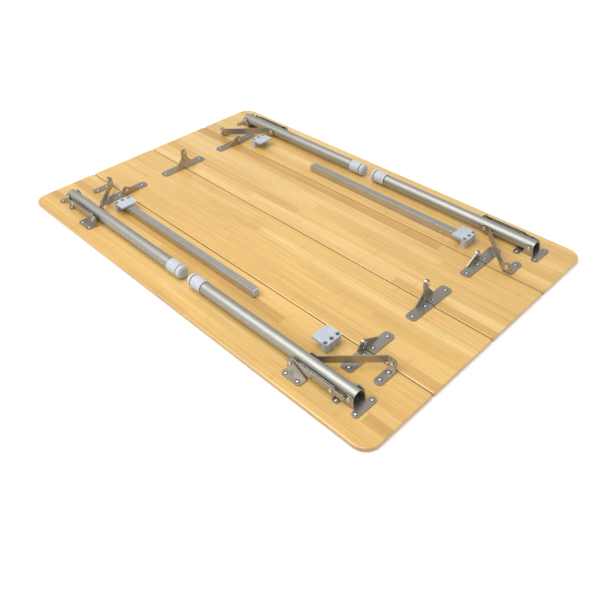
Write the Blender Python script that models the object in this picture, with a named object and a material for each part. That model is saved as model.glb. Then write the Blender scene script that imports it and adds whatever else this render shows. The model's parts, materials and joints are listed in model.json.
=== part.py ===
"""A folding camping table: four hinged bamboo panels, four telescopic legs and two locking bars.

It lies face down with its legs folded and its bars put away along the panels that they are pinned to.
Run it with: blender --background --python part.py

Frame: metres, +X along the table, +Y across it, +Z up. The origin is the middle of the table top's
face, which lies on z = 0. Every shape is made for the +X +Y quarter and mirrored to its own quarter.
Heights called "above" are measured up from the underside of the panels, which faces up here.
"""

import math

import bmesh
import bpy

MM = 0.001

# --- driving dimensions -------------------------------------------------------------------------
LENGTH = 1000 * MM
WIDTH = 655 * MM
THICKNESS = 10 * MM
SEAM = 168.5 * MM  # from the middle seam to each side seam
SEAM_GAP = 1.0 * MM
EDGE_ROUND = 2.5 * MM
CORNER_RADIUS = 30 * MM
SEAM_CORNER_RADIUS = 5 * MM

GAP = 0.3 * MM  # air between pieces that touch
STEP = 0.01 * MM  # keeps two faces of joined shapes off one plane
SHEET = 2.0 * MM  # steel plate thickness
PIN_RADIUS = 2.5 * MM
HOLE_RADIUS = 2.8 * MM
HEAD_RADIUS = 4.2 * MM
HEAD = 1.4 * MM  # thickness of a rivet's head

# Hinges. The side hinges turn an outer panel over the legs, the middle ones clear both stacks.
SIDE_PIVOT = 15 * MM
MIDDLE_PIVOT = 43 * MM
EAR_RADIUS = 6.7 * MM
LEAF_INSIDE = 356.2 * MM
LEAF_OUTSIDE = 378 * MM
LEAF_LENGTH = 59.5 * MM
LEAF_CHAMFER = 5 * MM

# Locking bars and the blocks that hold them.
BAR_SIZE = 15.6 * MM
BAR_WALL = 1.3 * MM
BAR_ABOVE = 0.8 * MM
BAR_REACH = 423 * MM  # from the pivot to the free end
BAR_X = 300 * MM
BAR_Y = 202.5 * MM
BLOCK_INSIDE = 286 * MM
BLOCK_WALL = 308.5 * MM
BLOCK_OUTSIDE = 320.5 * MM
BLOCK_HALF_WIDTH = 19.5 * MM
BLOCK_HEIGHT = 20.5 * MM
BLOCK_ROOF = 3.5 * MM
BLOCK_SCREW_PITCH = 15.2 * MM
BLOCK_SCREW_RADIUS = 4.3 * MM
BLOCK_SCREW_FLOOR = 7 * MM
BULGE_RADIUS = 9 * MM

# Legs. Each one lies along X, pinned near the table's end, with its foot near the middle.
LEG_Y = 264 * MM
LEG_ABOVE = 16 * MM
PIVOT_X = 420 * MM
TUBE_RADIUS = 12 * MM
TUBE_WALL = 1.2 * MM
TUBE_OPEN_END = 427 * MM
TUBE_FOOT_END = 53 * MM
COLLAR_RADIUS = 13.3 * MM
COLLAR_END = 23.5 * MM
COLLAR_SLEEVE_END = 74 * MM
INNER_RADIUS = 9.6 * MM
INNER_WALL = 1.0 * MM
INNER_END = 300 * MM
FOOT_RADIUS = 12.8 * MM
FOOT_TOP = 21.7 * MM
FOOT_TIP = 13 * MM

# Leg clevis: an H-shaped base with two ears.
CLEVIS_SCREW_X = (399 * MM, 439 * MM)
CLEVIS_SCREW_Y = 19.5 * MM
CLEVIS_LOBE = (6.5 * MM, 7 * MM)
CLEVIS_HALF_WIDTH = 14.0 * MM
CLEVIS_EAR = 12.4 * MM  # from the leg's axis to an ear's inner face
CLEVIS_EAR_RADIUS = 8.5 * MM
CLEVIS_PIN_RADIUS = 3.0 * MM

# Folding lock: a handle link on the panel and a second link on the leg, straight when the leg is up.
LOCK_BASE_X = 301 * MM
LOCK_LEG_X = 319 * MM
LOCK_REACH = math.hypot(PIVOT_X - LOCK_BASE_X, PIVOT_X - LOCK_LEG_X)
HANDLE_LINK = 87 * MM
LEG_LINK = LOCK_REACH - HANDLE_LINK
HANDLE_HALF_WIDTH = 7.5 * MM
LEG_LINK_HALF_WIDTH = 6.5 * MM
HANDLE_NECK = 5 * MM
HANDLE_TIP = 28 * MM  # how far the handle runs past the knee
LEG_LINK_SIDE = 14.6 * MM  # from the leg's axis to each link's inner face
HANDLE_SIDE = 18.2 * MM
LOCK_EAR_SIDE = 20.5 * MM
LOCK_PLATE_X = (295 * MM, 338 * MM)
LOCK_PLATE_Y = 305 * MM
LOCK_EAR_TOE = 336 * MM  # where the ear's slope meets the plate

# Strut: a flat bar on edge from the tube to an ear on the leg's own hinge line, beside the seam.
STRUT_HEIGHT = 16 * MM
STRUT_TUBE_X = 319 * MM
STRUT_BENDS = (328 * MM, 409 * MM)
STRUT_EAR_Y = 170.4 * MM  # middle of the strut's tab at the ear
STRUT_PLATE_X = (413.5 * MM, 430.5 * MM)
STRUT_PLATE_Y = 216 * MM

PLATE_LOW = THICKNESS + GAP
PLATE_MIDDLE = PLATE_LOW + SHEET / 2
LEG_Z = THICKNESS + LEG_ABOVE
SIDE_AXIS_Z = THICKNESS + SIDE_PIVOT
MIDDLE_AXIS_Z = THICKNESS + MIDDLE_PIVOT

CORNERS = {
    "front_left": (-1, -1),
    "front_right": (1, -1),
    "back_left": (-1, 1),
    "back_right": (1, 1),
}


# --- materials ----------------------------------------------------------------------------------
def make_material(name, colour, roughness, metallic=0.0):
    material = bpy.data.materials.new(name)
    material.use_nodes = True
    shader = material.node_tree.nodes["Principled BSDF"]
    shader.inputs["Base Color"].default_value = (*colour, 1.0)
    shader.inputs["Roughness"].default_value = roughness
    shader.inputs["Metallic"].default_value = metallic
    material.diffuse_color = (*colour, 1.0)
    return material


def make_materials():
    return {
        "bamboo": make_material("bamboo", (0.80, 0.55, 0.24), 0.45),
        "tube": make_material("anodised_aluminium", (0.56, 0.54, 0.49), 0.35, 1.0),
        "steel": make_material("brushed_steel", (0.42, 0.40, 0.37), 0.30, 1.0),
        "plastic": make_material("grey_plastic", (0.55, 0.58, 0.64), 0.50),
        "foot": make_material("foot_tube", (0.50, 0.52, 0.56), 0.45),
    }


# --- outlines -----------------------------------------------------------------------------------
def arc(centre, radius, start, end, steps):
    """Points along an arc, with its angles in degrees."""
    angles = [math.radians(start + (end - start) * i / steps) for i in range(steps + 1)]
    return [(centre[0] + radius * math.cos(a), centre[1] + radius * math.sin(a)) for a in angles]


def circle(centre, radius, sides):
    return arc(centre, radius, 0, 360, sides)[:-1]


def rounded_rectangle(low, high, radii, steps=4):
    """A rectangle's outline with one radius for each corner, from the low corner anticlockwise."""
    (x0, y0), (x1, y1) = low, high
    a, b, c, d = radii
    return (
        arc((x0 + a, y0 + a), a, 180, 270, steps)
        + arc((x1 - b, y0 + b), b, 270, 360, steps)
        + arc((x1 - c, y1 - c), c, 0, 90, steps)
        + arc((x0 + d, y1 - d), d, 90, 180, steps)
    )


def stadium(start_x, end_x, middle, radius, steps=8):
    """A bar with two round ends, along the outline's first axis."""
    return arc((end_x, middle), radius, -90, 90, steps) + arc((start_x, middle), radius, 90, 270, steps)


def strip(path, thickness):
    """The outline of a bent flat strip whose middle follows a path, with mitred bends."""
    normals = []
    for a, b in zip(path, path[1:]):
        run = math.dist(a, b)
        normals.append(((a[1] - b[1]) / run, (b[0] - a[0]) / run))
    left, right = [], []
    for point, before, after in zip(path, normals[:1] + normals, normals + normals[-1:]):
        x, y = before[0] + after[0], before[1] + after[1]
        reach = thickness / (x * x + y * y)
        left.append((point[0] + x * reach, point[1] + y * reach))
        right.append((point[0] - x * reach, point[1] - y * reach))
    return left + right[::-1]


# --- meshes -------------------------------------------------------------------------------------
def finished(shape, name):
    """The mesh of a shape, with its faces pointing out."""
    bmesh.ops.recalc_face_normals(shape, faces=shape.faces)
    mesh = bpy.data.meshes.new(name)
    shape.to_mesh(mesh)
    shape.free()
    return mesh


def in_plane(plane, a, b, c):
    """A point whose first two values lie in the named plane and whose third is along its normal."""
    return {"XY": (a, b, c), "XZ": (a, c, b), "YZ": (c, a, b)}[plane]


def prism(points, low, high, plane="XY"):
    """An outline in a plane, run from low to high along the plane's normal."""
    shape = bmesh.new()
    lower = [shape.verts.new(in_plane(plane, a, b, low)) for a, b in points]
    upper = [shape.verts.new(in_plane(plane, a, b, high)) for a, b in points]
    shape.faces.new(lower)
    shape.faces.new(upper)
    for i in range(len(points)):
        j = (i + 1) % len(points)
        shape.faces.new((lower[i], lower[j], upper[j], upper[i]))
    return finished(shape, "prism")


def turned(profile, axis_y, axis_z, closed=False, sides=28):
    """Rings of (x, radius) round a line along X: a closed loop of rings, or capped at both ends."""
    shape = bmesh.new()
    rings = []
    for x, radius in profile:
        ring = circle((axis_y, axis_z), radius, sides)
        rings.append([shape.verts.new((x, y, z)) for y, z in ring])
    pairs = list(zip(rings, rings[1:]))
    if closed:
        pairs.append((rings[-1], rings[0]))
    else:
        shape.faces.new(rings[0])
        shape.faces.new(rings[-1])
    for a, b in pairs:
        for i in range(sides):
            j = (i + 1) % sides
            shape.faces.new((a[i], a[j], b[j], b[i]))
    return finished(shape, "turned")


def rod(centre, radius, low, high, plane, sides=16):
    """A round pin, head or drill, whose axis is the plane's normal."""
    return prism(circle(centre, radius, sides), low, high, plane)


def boolean(first, second, operation):
    """The mesh that is left when the second solid is joined to the first, cut from it or kept in it."""
    holders = [bpy.data.objects.new("holder", mesh) for mesh in (first, second)]
    for holder in holders:
        bpy.context.scene.collection.objects.link(holder)
    modifier = holders[0].modifiers.new("boolean", "BOOLEAN")
    modifier.operation = operation
    modifier.solver = "EXACT"
    modifier.object = holders[1]
    graph = bpy.context.evaluated_depsgraph_get()
    result = bpy.data.meshes.new_from_object(holders[0].evaluated_get(graph))
    for holder in holders:
        bpy.data.objects.remove(holder)
    return result


def union(first, *others):
    for other in others:
        first = boolean(first, other, "UNION")
    return first


def cut(first, *cutters):
    for cutter in cutters:
        first = boolean(first, cutter, "DIFFERENCE")
    return first


# --- scene tree ---------------------------------------------------------------------------------
def clear_scene():
    for old in list(bpy.data.objects):
        bpy.data.objects.remove(old)


def add_frame(name, place, parent=None):
    """An empty on a joint's axis, which carries the pieces that the joint moves."""
    frame = bpy.data.objects.new(f"{name}_frame", None)
    bpy.context.scene.collection.objects.link(frame)
    frame["place"] = place
    frame.parent = parent
    start = parent["place"] if parent else (0, 0, 0)
    frame.location = [a - b for a, b in zip(place, start)]
    return frame


def add_piece(name, mesh, material, frame, side=(1, 1)):
    """One node: its mesh is mirrored to its own quarter and hung on its frame, with smooth rounds."""
    mirrored = mesh.copy()
    place = frame["place"]
    for vertex in mirrored.vertices:
        x, y, z = vertex.co
        vertex.co = (x * side[0] - place[0], y * side[1] - place[1], z - place[2])
    if side[0] * side[1] < 0:
        mirrored.flip_normals()
    mirrored.name = name
    mirrored.materials.clear()
    mirrored.materials.append(material)
    mirrored.shade_smooth()
    mirrored.set_sharp_from_angle(angle=math.radians(35))
    piece = bpy.data.objects.new(name, mirrored)
    bpy.context.scene.collection.objects.link(piece)
    piece.parent = frame
    return piece


# --- panels -------------------------------------------------------------------------------------
def panel_mesh(low_y, high_y, low_radius, high_radius):
    """One bamboo panel, across the whole length, with its own radius at the corners of each side."""
    outline = rounded_rectangle(
        (-LENGTH / 2, low_y),
        (LENGTH / 2, high_y),
        (low_radius, low_radius, high_radius, high_radius),
        steps=7,
    )
    return prism(outline, 0, THICKNESS)


def add_panels(frames, material):
    inner = panel_mesh(SEAM_GAP / 2, SEAM - SEAM_GAP / 2, SEAM_CORNER_RADIUS, SEAM_CORNER_RADIUS)
    outer = panel_mesh(SEAM + SEAM_GAP / 2, WIDTH / 2, SEAM_CORNER_RADIUS, CORNER_RADIUS)
    for part, y_side in (("front", -1), ("back", 1)):
        for kind, mesh in (("inner", inner), ("outer", outer)):
            body = f"{part}_{kind}"
            panel = add_piece(f"{body}_panel", mesh, material, frames[body], (1, y_side))
            bevel = panel.modifiers.new("rounded edges", "BEVEL")
            bevel.width = EDGE_ROUND
            bevel.segments = 2
            bevel.limit_method = "ANGLE"
            bevel.angle_limit = math.radians(40)


# --- hinges -------------------------------------------------------------------------------------
def leaf_mesh(seam, direction, web, pivot, lane):
    """One hinge leaf: a screwed plate and the upright web that carries the pivot.

    Direction is the side of the seam that the leaf lies on. The web is a list of (distance from the
    seam, height above) points that starts and ends in the plate. Lane 0 is the leaf with the rivet,
    and lane 1 is the leaf that turns on it, one sheet further in.
    """
    inside = LEAF_INSIDE - lane * (SHEET + GAP)
    plate = [
        (inside, seam + direction * SEAM_GAP),
        (LEAF_OUTSIDE, seam + direction * SEAM_GAP),
        (LEAF_OUTSIDE, seam + direction * (LEAF_LENGTH - LEAF_CHAMFER)),
        (LEAF_OUTSIDE - LEAF_CHAMFER, seam + direction * LEAF_LENGTH),
        (inside + LEAF_CHAMFER, seam + direction * LEAF_LENGTH),
        (inside, seam + direction * (LEAF_LENGTH - LEAF_CHAMFER)),
    ]
    outline = [(seam + direction * v, THICKNESS + h) for v, h in web]
    leaf = union(
        prism(plate, PLATE_LOW, PLATE_LOW + SHEET),
        prism(outline, inside + STEP, inside + SHEET, "YZ"),
    )
    centre = (seam, THICKNESS + pivot)
    if lane:
        return cut(leaf, rod(centre, HOLE_RADIUS, inside - MM, inside + SHEET + MM, "YZ"))
    far_face = LEAF_INSIDE - GAP - SHEET - GAP
    rivet = union(
        rod(centre, PIN_RADIUS, far_face - HEAD / 2, inside + SHEET / 2, "YZ"),
        rod(centre, HEAD_RADIUS, far_face - HEAD, far_face, "YZ"),
        rod(centre, HEAD_RADIUS, inside + SHEET * 0.6, inside + SHEET + HEAD, "YZ"),
    )
    return union(leaf, rivet)


def side_web(base, slope_end, plate_height):
    """A low web: a slope from the plate to the round ear, which ends just past the seam."""
    ear = arc((0, SIDE_PIVOT), EAR_RADIUS, slope_end, 205, 10)
    return [(base, plate_height), (base - MM, plate_height + 3 * MM)] + ear + [(3 * MM, plate_height)]


def middle_web(plate_height):
    """A tall web: a sloped shoulder, then a straight neck that fits between two folded panels."""
    shoulder = [(28 * MM, plate_height), (27 * MM, 6 * MM), (9 * MM, 27 * MM), (EAR_RADIUS, 31.5 * MM)]
    ear = arc((0, MIDDLE_PIVOT), EAR_RADIUS, 0, 180, 10)
    inner_edge = [(-EAR_RADIUS, 34 * MM), (1.5 * MM, 12 * MM), (6 * MM, plate_height)]
    return shoulder + ear + inner_edge


def add_hinges(frames, material):
    """Two hinges on each seam. The leaf on the panel nearer the middle, or in front, has the rivet."""
    plate_height = GAP + SHEET / 2
    outer_leaf = leaf_mesh(SEAM, 1, side_web(15 * MM, 40, plate_height), SIDE_PIVOT, 1)
    inner_leaf = leaf_mesh(SEAM, -1, side_web(36 * MM, 62, plate_height), SIDE_PIVOT, 0)
    front_leaf = leaf_mesh(0, -1, middle_web(plate_height), MIDDLE_PIVOT, 0)
    back_leaf = leaf_mesh(0, 1, middle_web(plate_height), MIDDLE_PIVOT, 1)
    for end, x_side in (("left", -1), ("right", 1)):
        for part, y_side in (("front", -1), ("back", 1)):
            hinge = f"{part}_{end}_hinge"
            side = (x_side, y_side)
            add_piece(f"{hinge}_outer_leaf", outer_leaf, material, frames[f"{part}_outer"], side)
            add_piece(f"{hinge}_inner_leaf", inner_leaf, material, frames[f"{part}_inner"], side)
        middle = f"middle_{end}_hinge"
        add_piece(f"{middle}_front_leaf", front_leaf, material, frames["front_inner"], (x_side, 1))
        add_piece(f"{middle}_back_leaf", back_leaf, material, frames["back_inner"], (x_side, 1))


# --- locking bars and blocks --------------------------------------------------------------------
def block_mesh():
    """A plastic block: a scalloped wall with three screw holes, and a roof over an open slot."""
    spread = math.degrees(math.asin(BLOCK_HALF_WIDTH / 3 / BULGE_RADIUS))
    wall = [(BLOCK_WALL, BAR_Y + BLOCK_HALF_WIDTH), (BLOCK_WALL, BAR_Y - BLOCK_HALF_WIDTH)]
    for row in (-1, 0, 1):
        centre = (BLOCK_OUTSIDE - BULGE_RADIUS, BAR_Y + row * BLOCK_HALF_WIDTH * 2 / 3)
        wall += arc(centre, BULGE_RADIUS, -spread, spread, 5)[1 if row > -1 else 0 :]
    top = THICKNESS + BLOCK_HEIGHT
    roof = rounded_rectangle(
        (BLOCK_INSIDE, BAR_Y - BLOCK_HALF_WIDTH - GAP),
        (BLOCK_OUTSIDE + GAP, BAR_Y + BLOCK_HALF_WIDTH + GAP),
        (1.5 * MM, 3 * MM, 3 * MM, 1.5 * MM),
        steps=3,
    )
    block = union(prism(wall, PLATE_LOW, top - BLOCK_ROOF / 2), prism(roof, top - BLOCK_ROOF, top))
    screw_x = (BLOCK_WALL + BLOCK_OUTSIDE) / 2
    for row in (-1, 0, 1):
        centre = (screw_x, BAR_Y + row * BLOCK_SCREW_PITCH)
        floor = THICKNESS + BLOCK_SCREW_FLOOR
        block = cut(block, rod(centre, BLOCK_SCREW_RADIUS, floor, top + MM, "XY"))
    return block


def bar_mesh():
    """A hollow square bar with a round end at its pivot and an open end at its tip."""
    low, high = THICKNESS + BAR_ABOVE, THICKNESS + BAR_ABOVE + BAR_SIZE
    half = BAR_SIZE / 2
    tip = BAR_X - BAR_REACH
    plan = [(tip, BAR_Y + half), (tip, BAR_Y - half)] + arc((BAR_X, BAR_Y), half, -90, 90, 8)
    bore_half = half - BAR_WALL
    bore = rounded_rectangle(
        (tip - MM, BAR_Y - bore_half),
        (BAR_X - 2 * BAR_SIZE, BAR_Y + bore_half),
        (0.5 * MM,) * 4,
        steps=1,
    )
    return cut(
        prism(plan, low, high),
        prism(bore, low + BAR_WALL, high - BAR_WALL),
        rod((BAR_X, BAR_Y), HOLE_RADIUS, low - MM, high + MM, "XY"),
    )


def add_bars_and_blocks(frames, materials):
    """Each bar is pinned in a block on one outer panel and latches into a block on the other."""
    block = block_mesh()
    roof_middle = THICKNESS + BLOCK_HEIGHT - BLOCK_ROOF / 2
    pivot_block = union(block, rod((BAR_X, BAR_Y), PIN_RADIUS, PLATE_LOW, roof_middle, "XY"))
    bar = bar_mesh()
    for part, side in (("front", (-1, -1)), ("back", (1, 1))):
        panel = frames[f"{part}_outer"]
        add_piece(f"{part}_bar_pivot_block", pivot_block, materials["plastic"], panel, side)
        add_piece(f"{part}_bar", bar, materials["tube"], frames[f"{part}_bar"], side)
        other = (-side[0], side[1])
        add_piece(f"{part}_catch_block", block, materials["plastic"], panel, other)


# --- legs ---------------------------------------------------------------------------------------
def beside_leg(offset):
    """A place across the table, given as a distance outwards from the leg's axis."""
    return LEG_Y + offset


def ear_outline(x, radius, foot=0.0):
    """An upright ear with a round top at the height of the leg's axis, and a foot that may flare."""
    return [(x + radius + foot, PLATE_MIDDLE)] + arc((x, LEG_Z), radius, 0, 180, 10) + [
        (x - radius - foot, PLATE_MIDDLE)
    ]


def outer_tube_mesh():
    """The leg's tube: open and cut away under its pivot, with rivets for the lock's link and the strut."""
    bore = TUBE_RADIUS - TUBE_WALL
    profile = [(TUBE_FOOT_END, TUBE_RADIUS), (TUBE_OPEN_END, TUBE_RADIUS)]
    profile += [(x, bore) for x, radius in reversed(profile)]
    tube = turned(profile, LEG_Y, LEG_Z, closed=True)
    reach = TUBE_RADIUS + 2 * MM
    relief = [(TUBE_OPEN_END + 2 * MM, LEG_Z + 3 * MM), (PIVOT_X - 3.5 * MM, LEG_Z - reach)]
    relief.append((TUBE_OPEN_END + 2 * MM, LEG_Z - reach))
    tube = cut(
        tube,
        prism(relief, beside_leg(-reach), beside_leg(reach), "XZ"),
        rod((PIVOT_X, LEG_Z), CLEVIS_PIN_RADIUS + GAP, beside_leg(-reach), beside_leg(reach), "XZ"),
    )
    rivet_start = TUBE_RADIUS - TUBE_WALL * 0.6
    link_face = LEG_LINK_SIDE + SHEET + GAP
    strut_face = TUBE_RADIUS + GAP + SHEET + GAP
    for x, side, face in ((LOCK_LEG_X, 1, link_face), (STRUT_TUBE_X, -1, strut_face)):
        pin = sorted((beside_leg(side * rivet_start), beside_leg(side * (face + HEAD / 2))))
        head = sorted((beside_leg(side * face), beside_leg(side * (face + HEAD * 0.7))))
        tube = union(tube, rod((x, LEG_Z), PIN_RADIUS, *pin, "XZ"), rod((x, LEG_Z), HEAD_RADIUS, *head, "XZ"))
    return tube


def clevis_mesh():
    """The leg's foot plate with two ears and the hinge pin."""
    rear, front = CLEVIS_SCREW_X
    rear_lobe, front_lobe = CLEVIS_LOBE
    half = CLEVIS_HALF_WIDTH
    y_plus, y_minus = beside_leg(CLEVIS_SCREW_Y), beside_leg(-CLEVIS_SCREW_Y)
    outline = arc((front, y_plus), front_lobe, 0, 180, 8)
    outline += [(front - front_lobe, beside_leg(half)), (rear + rear_lobe, beside_leg(half))]
    outline += arc((rear, y_plus), rear_lobe, 0, 180, 8)
    outline += arc((rear, y_minus), rear_lobe, 180, 360, 8)
    outline += [(rear + rear_lobe, beside_leg(-half)), (front - front_lobe, beside_leg(-half))]
    outline += arc((front, y_minus), front_lobe, 180, 360, 8)
    clevis = prism(outline, PLATE_LOW, PLATE_LOW + SHEET)
    ear = ear_outline(PIVOT_X, CLEVIS_EAR_RADIUS, 2.5 * MM)
    centre = (PIVOT_X, LEG_Z)
    for sign in (-1, 1):
        inner, outer = sorted((beside_leg(sign * CLEVIS_EAR), beside_leg(sign * (CLEVIS_EAR + SHEET))))
        face = CLEVIS_EAR + SHEET * 0.6
        head = sorted((beside_leg(sign * face), beside_leg(sign * (CLEVIS_EAR + SHEET + HEAD))))
        clevis = union(clevis, prism(ear, inner, outer, "XZ"), rod(centre, HEAD_RADIUS, *head, "XZ"))
    half_pin = CLEVIS_EAR + SHEET / 2
    return union(clevis, rod(centre, CLEVIS_PIN_RADIUS, beside_leg(-half_pin), beside_leg(half_pin), "XZ"))


def lock_bracket_mesh():
    """The lock's bracket on the panel: a plate with two screws, an ear and the handle link's rivet."""
    ear_low = beside_leg(LOCK_EAR_SIDE)
    plate = rounded_rectangle(
        (LOCK_PLATE_X[0], ear_low + SHEET / 4), (LOCK_PLATE_X[1], LOCK_PLATE_Y), (MM, MM, 7 * MM, 7 * MM)
    )
    centre = (LOCK_BASE_X, LEG_Z)
    link_face = beside_leg(HANDLE_SIDE) - GAP
    ear = [(LOCK_EAR_TOE, PLATE_MIDDLE), (LOCK_EAR_TOE, PLATE_LOW + SHEET + MM)]
    ear += arc(centre, HANDLE_HALF_WIDTH, 65, 180, 8)
    ear.append((LOCK_BASE_X - HANDLE_HALF_WIDTH, PLATE_MIDDLE))
    return union(
        prism(plate, PLATE_LOW, PLATE_LOW + SHEET),
        prism(ear, ear_low, ear_low + SHEET, "XZ"),
        rod(centre, PIN_RADIUS, link_face - HEAD / 2, ear_low + SHEET / 2, "XZ"),
        rod(centre, HEAD_RADIUS, link_face - HEAD * 0.7, link_face, "XZ"),
        rod(centre, HEAD_RADIUS, ear_low + SHEET * 0.6, ear_low + SHEET + HEAD, "XZ"),
    )


def handle_link_mesh():
    """The lock's outer link, which runs past the knee as a finger tab."""
    knee = LOCK_BASE_X + HANDLE_LINK
    tip = knee + HANDLE_TIP
    half = HANDLE_HALF_WIDTH
    tab = HANDLE_NECK + MM
    upper = [(knee + 2 * MM, half), (knee + 9 * MM, HANDLE_NECK), (knee + 15 * MM, HANDLE_NECK)]
    outline = [(x, LEG_Z - h) for x, h in upper]
    outline += arc((tip - tab, LEG_Z), tab, -90, 90, 8)
    outline += [(x, LEG_Z + h) for x, h in reversed(upper)]
    outline += arc((LOCK_BASE_X, LEG_Z), half, 90, 270, 10)
    inner = beside_leg(HANDLE_SIDE)
    outer = inner + SHEET
    link = cut(
        prism(outline, inner, outer, "XZ"),
        rod((LOCK_BASE_X, LEG_Z), HOLE_RADIUS, inner - MM, outer + MM, "XZ"),
    )
    return union(link, rod((knee, LEG_Z), HEAD_RADIUS, outer - SHEET / 4, outer + HEAD, "XZ"))


def leg_link_mesh():
    """The lock's inner link, from the tube's rivet to the knee."""
    knee = LOCK_LEG_X + LEG_LINK
    inner = beside_leg(LEG_LINK_SIDE)
    outer = inner + SHEET
    link = cut(
        prism(stadium(LOCK_LEG_X, knee, LEG_Z, LEG_LINK_HALF_WIDTH), inner, outer, "XZ"),
        rod((LOCK_LEG_X, LEG_Z), HOLE_RADIUS, inner - MM, outer + MM, "XZ"),
    )
    return union(link, rod((knee, LEG_Z), HEAD_RADIUS, inner - HEAD, inner + SHEET / 4, "XZ"))


def strut_mesh():
    """The strut: two tabs along X, joined by a slanting run, with rounded ends."""
    tube_tab = beside_leg(-TUBE_RADIUS) - GAP - SHEET / 2
    half = STRUT_HEIGHT / 2
    path = [
        (STRUT_TUBE_X - half - MM, tube_tab),
        (STRUT_BENDS[0], tube_tab),
        (STRUT_BENDS[1], STRUT_EAR_Y),
        (PIVOT_X + half + MM, STRUT_EAR_Y),
    ]
    bar = prism(strip(path, SHEET), LEG_Z - half, LEG_Z + half)
    side_view = stadium(STRUT_TUBE_X, PIVOT_X, LEG_Z, half - STEP)
    ends = prism(side_view, STRUT_EAR_Y - 2 * SHEET, tube_tab + 2 * SHEET, "XZ")
    strut = boolean(bar, ends, "INTERSECT")
    for x, y in ((STRUT_TUBE_X, tube_tab), (PIVOT_X, STRUT_EAR_Y)):
        strut = cut(strut, rod((x, LEG_Z), HOLE_RADIUS, y - 2 * SHEET, y + 2 * SHEET, "XZ"))
    return strut


def strut_bracket_mesh():
    """The bracket by the seam, whose rivet lies on the leg's hinge line."""
    ear_low = STRUT_EAR_Y + SHEET / 2 + GAP
    plate = rounded_rectangle(
        (STRUT_PLATE_X[0], ear_low + SHEET / 4), (STRUT_PLATE_X[1], STRUT_PLATE_Y), (MM, MM, 8 * MM, 8 * MM)
    )
    centre = (PIVOT_X, LEG_Z)
    tab_face = STRUT_EAR_Y - SHEET / 2 - GAP
    return union(
        prism(plate, PLATE_LOW, PLATE_LOW + SHEET),
        prism(ear_outline(PIVOT_X, STRUT_HEIGHT / 2), ear_low, ear_low + SHEET, "XZ"),
        rod(centre, PIN_RADIUS, tab_face - HEAD / 2, ear_low + SHEET / 2, "XZ"),
        rod(centre, HEAD_RADIUS, tab_face - HEAD * 0.8, tab_face, "XZ"),
        rod(centre, HEAD_RADIUS, ear_low + SHEET * 0.6, ear_low + SHEET + HEAD, "XZ"),
    )


def collar_mesh():
    """The plastic lock collar: a grip beside the tube's end and a thin sleeve inside the tube."""
    sleeve = TUBE_RADIUS - TUBE_WALL - GAP
    bore = INNER_RADIUS + GAP
    shoulder = TUBE_FOOT_END - GAP
    profile = [
        (COLLAR_END, COLLAR_RADIUS - MM),
        (COLLAR_END + MM, COLLAR_RADIUS),
        (shoulder, COLLAR_RADIUS),
        (shoulder, sleeve),
        (COLLAR_SLEEVE_END, sleeve),
        (COLLAR_SLEEVE_END, bore),
        (COLLAR_END, bore),
    ]
    return turned(profile, LEG_Y, LEG_Z, closed=True)


def foot_tube_mesh():
    """The inner tube with its foot: closed at the foot and open at the other end."""
    bore = INNER_RADIUS - INNER_WALL
    profile = [
        (FOOT_TIP, FOOT_RADIUS - 2.5 * MM),
        (FOOT_TIP + 2 * MM, FOOT_RADIUS - 0.5 * MM),
        (FOOT_TIP + 4 * MM, FOOT_RADIUS),
        (FOOT_TOP - MM, FOOT_RADIUS),
        (FOOT_TOP, FOOT_RADIUS - MM),
        (FOOT_TOP, INNER_RADIUS),
        (INNER_END, INNER_RADIUS),
        (INNER_END, bore),
        (FOOT_TOP, bore),
    ]
    return turned(profile, LEG_Y, LEG_Z)


def add_legs(frames, materials):
    pieces = {
        "leg_clevis": (clevis_mesh(), "steel", "panel"),
        "lock_bracket": (lock_bracket_mesh(), "steel", "panel"),
        "strut_bracket": (strut_bracket_mesh(), "steel", "panel"),
        "outer_tube": (outer_tube_mesh(), "tube", "leg"),
        "strut": (strut_mesh(), "steel", "leg"),
        "lock_handle_link": (handle_link_mesh(), "steel", "handle_link"),
        "lock_leg_link": (leg_link_mesh(), "steel", "leg_link"),
        "collar": (collar_mesh(), "plastic", "collar"),
        "foot_tube": (foot_tube_mesh(), "foot", "foot_tube"),
    }
    for corner, side in CORNERS.items():
        panel = corner.split("_")[0] + "_outer"
        for name, (mesh, material, body) in pieces.items():
            frame = frames[panel if body == "panel" else f"{corner}_{body}"]
            add_piece(f"{corner}_{name}", mesh, materials[material], frame, side)


# --- the whole table ----------------------------------------------------------------------------
def make_frames():
    """The tree of bodies. Each frame stands on the axis that its body turns or slides along."""
    frames = {"front_inner": add_frame("front_inner", (0, 0, 0))}
    root = frames["front_inner"]
    frames["back_inner"] = add_frame("back_inner", (0, 0, MIDDLE_AXIS_Z), root)
    frames["front_outer"] = add_frame("front_outer", (0, -SEAM, SIDE_AXIS_Z), root)
    frames["back_outer"] = add_frame("back_outer", (0, SEAM, SIDE_AXIS_Z), frames["back_inner"])
    for part, sign in (("front", -1), ("back", 1)):
        place = (sign * BAR_X, sign * BAR_Y, THICKNESS)
        frames[f"{part}_bar"] = add_frame(f"{part}_bar", place, frames[f"{part}_outer"])
    for corner, (x_side, y_side) in CORNERS.items():
        panel = frames[corner.split("_")[0] + "_outer"]
        y = y_side * LEG_Y
        leg = add_frame(f"{corner}_leg", (x_side * PIVOT_X, y, LEG_Z), panel)
        frames[f"{corner}_leg"] = leg
        places = {
            "handle_link": (LOCK_BASE_X, panel),
            "leg_link": (LOCK_LEG_X, leg),
            "collar": (TUBE_FOOT_END, leg),
            "foot_tube": (FOOT_TIP, leg),
        }
        for name, (x, parent) in places.items():
            frames[f"{corner}_{name}"] = add_frame(f"{corner}_{name}", (x_side * x, y, LEG_Z), parent)
    return frames


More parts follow.
